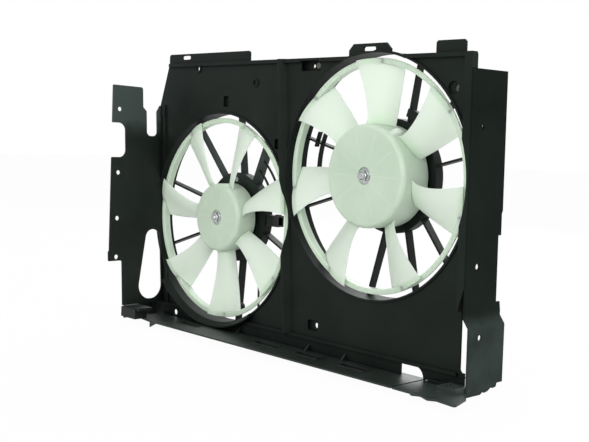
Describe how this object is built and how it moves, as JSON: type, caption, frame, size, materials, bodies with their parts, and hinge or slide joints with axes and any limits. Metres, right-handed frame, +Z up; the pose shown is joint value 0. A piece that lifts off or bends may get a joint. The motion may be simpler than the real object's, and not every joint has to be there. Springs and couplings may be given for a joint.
{
  "type": "radiator cooling fan",
  "caption": "Twin radiator cooling fan: a moulded shroud with two round ducted openings, a banded multi-blade fan turning in each on its own motor, side guides and a lower air shelf.",
  "frame": {"origin": "midway between the two slotted holes of the top mounting tabs, on the front face of the shroud's sheet", "axes": "+X runs to the right as seen from the radiator, +Y runs rearward with the air towards the engine, +Z is up"},
  "size_m": [0.7474, 0.1868, 0.472],
  "materials": {
    "shroud_plastic": "moulded satin",
    "fan_plastic": "translucent, lightly polished",
    "zinc_steel": "zinc plated",
    "motor_steel": "black satin paint",
    "core_steel": "stamped sheet",
    "copper": "bare copper",
    "bearing_steel": "ground",
    "ferrite": "sintered, matt",
    "card_plastic": "phenolic board",
    "carbon": "pressed carbon",
    "clip_plastic": "natural nylon",
    "lead_sleeve": "ribbed sleeve"
  },
  "bodies": {
    "shroud": {"fan_shroud": "shroud_plastic", "left_side_guide": "shroud_plastic", "right_side_guide": "shroud_plastic", "lower_air_guide": "shroud_plastic", "lower_corner_guide": "shroud_plastic", "left_foot": "shroud_plastic", "wire_clip": "clip_plastic", "motor_lead_left": "lead_sleeve", "motor_case_left": "motor_steel", "motor_end_cap_left": "motor_steel", "front_bearing_left": "bearing_steel", "rear_bearing_left": "bearing_steel", "field_magnets_left": "ferrite", "brush_card_left": "card_plastic", "carbon_brushes_left": "carbon", "motor_screws_left": "zinc_steel", "motor_carrier_left": "shroud_plastic", "motor_plug_left": "shroud_plastic", "motor_case_right": "motor_steel", "motor_end_cap_right": "motor_steel", "front_bearing_right": "bearing_steel", "rear_bearing_right": "bearing_steel", "field_magnets_right": "ferrite", "brush_card_right": "card_plastic", "carbon_brushes_right": "carbon", "motor_screws_right": "zinc_steel", "motor_carrier_right": "shroud_plastic", "motor_plug_right": "shroud_plastic"},
    "fan_left_rotor": {"fan_left": "fan_plastic", "fan_nut_left": "zinc_steel", "fan_washer_left": "zinc_steel", "motor_shaft_left": "zinc_steel", "armature_core_left": "core_steel", "commutator_left": "copper"},
    "fan_right_rotor": {"fan_right": "fan_plastic", "fan_nut_right": "zinc_steel", "fan_washer_right": "zinc_steel", "motor_shaft_right": "zinc_steel", "armature_core_right": "core_steel", "commutator_right": "copper"}
  },
  "joints": [
    {"name": "left_fan_spin", "type": "hinge", "parent": "shroud", "child": "fan_left_rotor", "pos_m": [-0.114, 0, -0.27], "axis": [0, -1, 0], "continuous": true},
    {"name": "right_fan_spin", "type": "hinge", "parent": "shroud", "child": "fan_right_rotor", "pos_m": [0.228, 0, -0.182], "axis": [0, -1, 0], "continuous": true}
  ]
}
